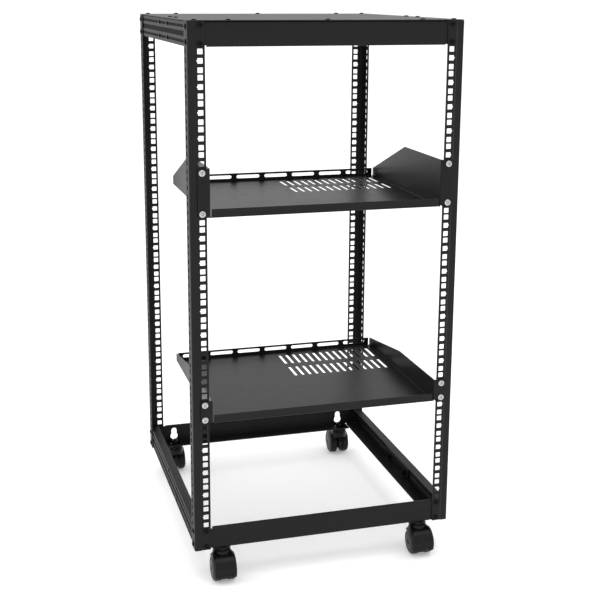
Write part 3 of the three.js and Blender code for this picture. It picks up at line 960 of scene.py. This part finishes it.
def add_splices():
    """The plates that bridge the rails' joints, each with four nuts on the screws' ends."""
    for side, across in SIDES.items():
        for level in ("bottom", "top"):
            name = f"splice_{side}_{level}"
            low, high = corners(name)
            outer_x = max(abs(low[0]), abs(high[0]))
            plate_middle = outer_x - FRAME_SHEET / 2
            joint = (low[1] + high[1]) / 2
            centre = (low[2] + high[2]) / 2
            outer = rounded_box(low[1], high[1], low[2], high[2], 3.0)
            plate = folded_sheet(outer, [], [], lambda y, z: (across * plate_middle, y, z), FRAME_SHEET)
            nut = hexagon(8.0, 0, 4.0, 2.5)
            tip = turned([(0, -1), (2.4, -1), (2.4, 5.2), (1.9, 5.8), (0, 5.8)], 24)
            nut_with_tip = joined([nut, tip])
            parts = [plate]
            for along in (-JOINT_SCREW, JOINT_SCREW):
                for step in (-RIB_PITCH, RIB_PITCH):
                    spot = (across * (outer_x - FRAME_SHEET), joint + along, centre + step)
                    parts.append(moved(nut_with_tip, aimed(*spot, (-across, 0, 0))))
            bpy.data.meshes.remove(nut_with_tip)
            piece(f"{name}_steel", joined(parts), BLACK_STEEL, "frame", "black_steel", name)


# ---------------------------------------------------------------- casters

# A caster's own frame has the swivel axis at x = y = 0, the floor at z = 0, and the axle along X
# at y = -TRAIL. The hood covers the wheels on that side and is open towards +Y.


def hood_radius(angle, x):
    """How far the hood's skin is from the axle: a round shell that swells into the neck's boss."""
    r = np.linspace(HOOD_INNER - 1, 50, 260)
    y = -TRAIL - r * math.cos(angle)
    z = WHEEL_RADIUS + r * math.sin(angle)
    crown = np.clip((z - BOSS_START) / (HOOD_TOP - BOSS_START), 0, 1)
    half = HOOD_HALF - HOOD_TAPER * crown**2
    lateral = np.maximum(abs(x) - (half - HOOD_EDGE), 0)
    shell = np.hypot(np.maximum(r - (HOOD_OUTER - HOOD_EDGE), 0), lateral) - HOOD_EDGE
    around = np.hypot(x, y) - (NECK_RADIUS - BOSS_ROUND)
    above = z - (HOOD_TOP - BOSS_ROUND)
    boss = np.hypot(np.maximum(around, 0), np.maximum(above, 0)) - BOSS_ROUND
    boss = np.where((around < 0) & (above < 0), np.maximum(around, above), boss)
    boss = np.maximum(boss, BOSS_ROOT - z)
    h = np.clip(0.5 + 0.5 * (boss - shell) / HOOD_BLEND, 0, 1)
    field = boss * (1 - h) + shell * h - HOOD_BLEND * h * (1 - h)
    filled = np.nonzero(field < 0)[0]
    thinnest = HOOD_INNER + HOOD_RIM
    return max(r[filled[-1]], thinnest) if len(filled) else thinnest


def hood_skin(x_range, angles, columns):
    """A closed shell over part of the hood: its skin outside and the wheels' clearance inside."""
    bm = bmesh.new()
    xs = np.linspace(*x_range, columns)
    layers = []
    for is_outer in (True, False):
        rows = []
        for angle in np.radians(angles):
            row = []
            for x in xs:
                radius = hood_radius(angle, x) if is_outer else HOOD_INNER
                y = -TRAIL - radius * math.cos(angle)
                z = WHEEL_RADIUS + radius * math.sin(angle)
                row.append(bm.verts.new(Vector((x, y, z)) * MM))
            rows.append(row)
        layers.append(rows)
    outer, inner = layers
    last_row, last_column = len(angles) - 1, columns - 1
    for rows in layers:
        for i in range(last_row):
            for j in range(last_column):
                bm.faces.new([rows[i][j], rows[i][j + 1], rows[i + 1][j + 1], rows[i + 1][j]])
    for j in range(last_column):
        for i in (0, last_row):
            bm.faces.new([outer[i][j], outer[i][j + 1], inner[i][j + 1], inner[i][j]])
    for i in range(last_row):
        for j in (0, last_column):
            bm.faces.new([outer[i][j], outer[i + 1][j], inner[i + 1][j], inner[i][j]])
    bmesh.ops.recalc_face_normals(bm, faces=bm.faces)
    return from_bmesh(bm)


def side_plate(outline, x0, x1):
    """An outline in Y and Z as a plate from x0 to x1."""
    plate = solid_prism(outline, x0, x1)
    turn = Matrix(((0, 0, 1, 0), (1, 0, 0, 0), (0, 1, 0, 0), (0, 0, 0, 1)))
    plate.transform(turn)
    return plate


def hood_mesh(has_brake):
    angles = np.linspace(HOOD_FOOT_ANGLE, HOOD_REAR_ANGLE, 64)
    edge = HOOD_HALF - 0.01
    if has_brake:
        high = np.concatenate([[PEDAL_TOP_ANGLE], angles[angles > PEDAL_TOP_ANGLE + 1]])
        low = np.concatenate([angles[angles < PEDAL_TOP_ANGLE - 1], [PEDAL_TOP_ANGLE]])
        parts = [
            hood_skin((-edge, edge), high, 57),
            hood_skin((-edge, PEDAL_LEFT - 0.4), low, 15),
            hood_skin((NOTCH_RIGHT, edge), low, 15),
        ]
    else:
        parts = [hood_skin((-edge, edge), angles, 57)]
    bore = PIVOT_RADIUS + GAP
    socket = turned([(0, PIVOT_FOOT - GAP), (bore, PIVOT_FOOT - GAP), (bore, 70), (0, 70)], 32)
    parts[0] = carved(parts[0], socket)
    shells = [softened(part, 0.4, 60, 2, clamped=True) for part in parts]
    ahead = HOOD_INNER - 1 if has_brake else HOOD_INNER + 1
    web = arc(-TRAIL, WHEEL_RADIUS, ahead, 203, 180, 3)
    web += arc(-TRAIL, WHEEL_RADIUS, HOOD_INNER + 1, 176, 60, 14)
    web += arc(-TRAIL, WHEEL_RADIUS, HOOD_OUTER, 42, -20, 10)
    hole = AXLE_RADIUS + GAP
    bore = turned([(0, -10), (hole, -10), (hole, 10), (0, 10)], 24)
    bore.transform(ALONG_AXLE)
    wall = carved(side_plate(web, -WEB_HALF, WEB_HALF), bore)
    shells.append(softened(wall, 0.4, 40, 2, clamped=True))
    return joined(shells)


def wheel_mesh():
    """Half a twin wheel about Z, its inner face at z = WHEEL_INNER and its cap at WHEEL_OUTER."""
    profile = [(AXLE_RADIUS + GAP, WHEEL_INNER), (18, WHEEL_INNER), (18.6, WHEEL_INNER + 1.2)]
    profile += [(20.6, WHEEL_INNER + 1.2), (21.2, WHEEL_INNER)]
    profile += arc(22.5, WHEEL_INNER + 2.5, 2.5, -90, 0, 5)
    profile += [(WHEEL_RADIUS, 10.6), (24.6, 11.0), (24.6, 11.6), (WHEEL_RADIUS, 12.0)]
    profile += arc(WHEEL_RADIUS - 6, WHEEL_OUTER - 6.6, 6, 0, 76, 8)
    profile += [(19.0, 22.2), (18.4, 21.5), (17.6, 21.5), (17.0, 22.4), (14, 22.8), (9, 23.0)]
    profile += [(5.4, 23.0), (4.9, 22.2), (0, 22.2)]
    profile += [(0, WHEEL_BORE_END), (AXLE_RADIUS + GAP, WHEEL_BORE_END)]
    return softened(turned(profile, 64), 0.15, 45, 1)


def brake_mesh():
    """A pedal in the hood's lower front edge, on two arms that turn on the axle."""
    foot = np.linspace(PEDAL_FOOT_ANGLE, PEDAL_TOP_ANGLE - 0.7, 14)
    pedal = softened(hood_skin((PEDAL_LEFT, PEDAL_RIGHT), foot, 21), 0.5, 50, 2)
    parts = [pedal]
    for hand in (-1, 1):
        arm = arc(-TRAIL, WHEEL_RADIUS, BRAKE_EYE, -60, 150, 14)
        arm += BRAKE_ARM_END
        plate = side_plate(arm, *sorted((hand * (WEB_HALF + GAP), hand * (WHEEL_INNER - GAP))))
        hole = AXLE_RADIUS + GAP
        bore = turned([(0, -10), (hole, -10), (hole, 10), (0, 10)], 24)
        bore.transform(ALONG_AXLE)
        parts.append(softened(carved(plate, bore), 0.2, 40, 1))
    return joined(parts)


AXLE_PLACE = Matrix.Translation(Vector((0, -TRAIL, WHEEL_RADIUS)) * MM)
ALONG_AXLE = AXLE_PLACE @ Matrix.Rotation(math.pi / 2, 4, "Y")


def stem_mesh():
    """The neck's disc with its rolled rim, the pivot below it and the thread above it."""
    low, top = HOOD_TOP + GAP, FRAME_BOTTOM - GAP
    profile = [(0, PIVOT_FOOT), (PIVOT_RADIUS - 0.4, PIVOT_FOOT), (PIVOT_RADIUS, PIVOT_FOOT + 0.4)]
    profile += [(PIVOT_RADIUS, low), (NECK_RADIUS - 0.8, low)]
    profile += [(NECK_RADIUS, low + 0.8), (NECK_RADIUS, low + 2.4), (NECK_RADIUS - 1.2, low + 3.2)]
    profile += [(NECK_RADIUS - 1.2, top - 1.2), (NECK_RADIUS - 2.0, top), (STEM_RADIUS, top)]
    height = top
    while height < FRAME_BOTTOM + THREAD_END - 1:
        crest = height + 0.2
        profile += [(STEM_RADIUS, crest), (STEM_RADIUS - 0.6, crest + THREAD_PITCH / 2)]
        height += THREAD_PITCH
    profile += [(STEM_RADIUS - 0.8, FRAME_BOTTOM + THREAD_END), (0, FRAME_BOTTOM + THREAD_END)]
    return softened(turned(profile, 48), 0.15, 50, 1)


def nut_mesh():
    low = FRAME_BOTTOM + FRAME_SHEET + GAP
    top = low + WASHER_HEIGHT
    bore = STEM_RADIUS + GAP
    ring = [(bore, low), (WASHER_RADIUS - 0.2, low), (WASHER_RADIUS, low + 0.3)]
    ring += [(WASHER_RADIUS - 0.3, top - 0.1), (bore, top)]
    washer = softened(turned(ring, 48), 0.15, 50, 1)
    return joined([washer, hexagon(NUT_ACROSS, top, low + NUT_HEIGHT, bore)])


def axle_mesh():
    half = 20.0
    profile = [(0, -half), (AXLE_RADIUS - 0.5, -half), (AXLE_RADIUS, 0.5 - half)]
    profile += [(AXLE_RADIUS, half - 0.5), (AXLE_RADIUS - 0.5, half), (0, half)]
    return turned(profile, 32)


def add_casters():
    wheel = wheel_mesh()
    flip = Matrix.Rotation(math.pi, 4, "Y")
    shapes = {
        "stem": stem_mesh(),
        "nut": nut_mesh(),
        "axle": moved(axle_mesh(), ALONG_AXLE),
        "wheel_a": moved(wheel, ALONG_AXLE @ flip),
        "wheel_b": moved(wheel, ALONG_AXLE),
    }
    hoods = {"front": hood_mesh(True), "rear": hood_mesh(False)}
    brake = brake_mesh()
    looks = {
        "stem": (BLACK_STEEL, "black_steel"),
        "nut": (BLACK_STEEL, "black_steel"),
        "axle": (BLACK_STEEL, "black_steel"),
        "wheel_a": (WHEEL_PLASTIC, "wheel_plastic"),
        "wheel_b": (WHEEL_PLASTIC, "wheel_plastic"),
    }
    for end, away in ENDS.items():
        for side in SIDES:
            stem_low, stem_high = corners(f"caster_{end}_{side}_stem")
            x, y = ((stem_low[i] + stem_high[i]) / 2 for i in (0, 1))
            turn = Matrix.Rotation(math.pi if away > 0 else 0, 4, "Z")
            place = Matrix.Translation((x * MM, y * MM, 0)) @ turn
            bodies = {
                "stem": "frame",
                "nut": "frame",
                "axle": f"caster_{end}_{side}",
                "wheel_a": f"wheel_{end}_{side}_a",
                "wheel_b": f"wheel_{end}_{side}_b",
            }
            for part, shape in shapes.items():
                cad = f"caster_{end}_{side}_{part}"
                material, slot = looks[part]
                piece(f"{cad}_fine", moved(shape, place), material, bodies[part], slot, cad)
            cad = f"caster_{end}_{side}_hood"
            hood = moved(hoods[end], place)
            piece(f"{cad}_fine", hood, HOOD_PLASTIC, f"caster_{end}_{side}", "hood_plastic", cad)
            if end == "front":
                cad = f"caster_{end}_{side}_brake"
                pedal = moved(brake, place)
                piece(f"{cad}_fine", pedal, HOOD_PLASTIC, f"brake_{end}_{side}", "hood_plastic", cad)


# ---------------------------------------------------------------- stage, lights and camera


def add_floor():
    bm = bmesh.new()
    bmesh.ops.create_grid(bm, x_segments=1, y_segments=1, size=30)
    floor = bpy.data.objects.new("floor", from_bmesh(bm))
    bpy.context.scene.collection.objects.link(floor)
    material, tree, bsdf = shader("pale_floor")
    share = spread(tree, noise(tree, 3.0, 2.0), 0, 1, 0.3, 0.7)
    colour = mixed(tree, share, (0.93, 0.93, 0.93), (0.95, 0.95, 0.95))
    tree.links.new(colour, bsdf.inputs["Base Color"])
    bsdf.inputs["Emission Color"].default_value = (1, 1, 1, 1)
    bsdf.inputs["Emission Strength"].default_value = FLOOR_GLOW
    bsdf.inputs["Roughness"].default_value = 0.9
    bsdf.inputs["Specular IOR Level"].default_value = 0.1
    floor.data.materials.append(material)


def add_softbox(name, place, target, size, power):
    light = bpy.data.lights.new(name, "AREA")
    light.shape = "RECTANGLE"
    light.size, light.size_y = size
    light.energy = power
    obj = bpy.data.objects.new(name, light)
    obj.location = place
    aim = Vector(target) - Vector(place)
    obj.rotation_euler = aim.to_track_quat("-Z", "Y").to_euler()
    bpy.context.scene.collection.objects.link(obj)


def add_light():
    world = bpy.data.worlds.new("studio")
    world.use_nodes = True
    background = world.node_tree.nodes["Background"]
    background.inputs["Color"].default_value = (1, 1, 1, 1)
    background.inputs["Strength"].default_value = 1.08
    bpy.context.scene.world = world
    add_softbox("softbox_above", (0.3, -0.4, 3.6), (0, 0, 0.3), (3.0, 3.0), 28)
    add_softbox("softbox_left", (-2.8, -0.6, 1.9), (0, 0, 0.6), (1.6, 2.2), 14)


def add_camera():
    data = bpy.data.cameras.new("camera")
    data.lens = 67.81
    data.sensor_width = 36
    data.shift_x = 0.0108
    data.shift_y = -0.0917
    camera = bpy.data.objects.new("camera", data)
    ahead = Vector((0.2683, 0.9381, -0.2192)).normalized()
    right = Vector((0.9617, -0.2740, 0.0046))
    right = (right - ahead * right.dot(ahead)).normalized()
    axes = Matrix((right, right.cross(ahead), -ahead)).transposed()
    camera.matrix_world = Matrix.Translation((-0.6145, -2.1898, 1.0943)) @ axes.to_4x4()
    bpy.context.scene.collection.objects.link(camera)
    bpy.context.scene.camera = camera


add_camera()
add_light()
add_floor()
add_posts()
add_beams()
add_rails()
add_splices()
add_top_panel()
add_panel_screws()
add_frame_screws()
for shelf in ("upper", "lower"):
    add_shelf(shelf)
add_shelf_screws()
add_casters()
bpy.context.scene.view_settings.view_transform = "Standard"
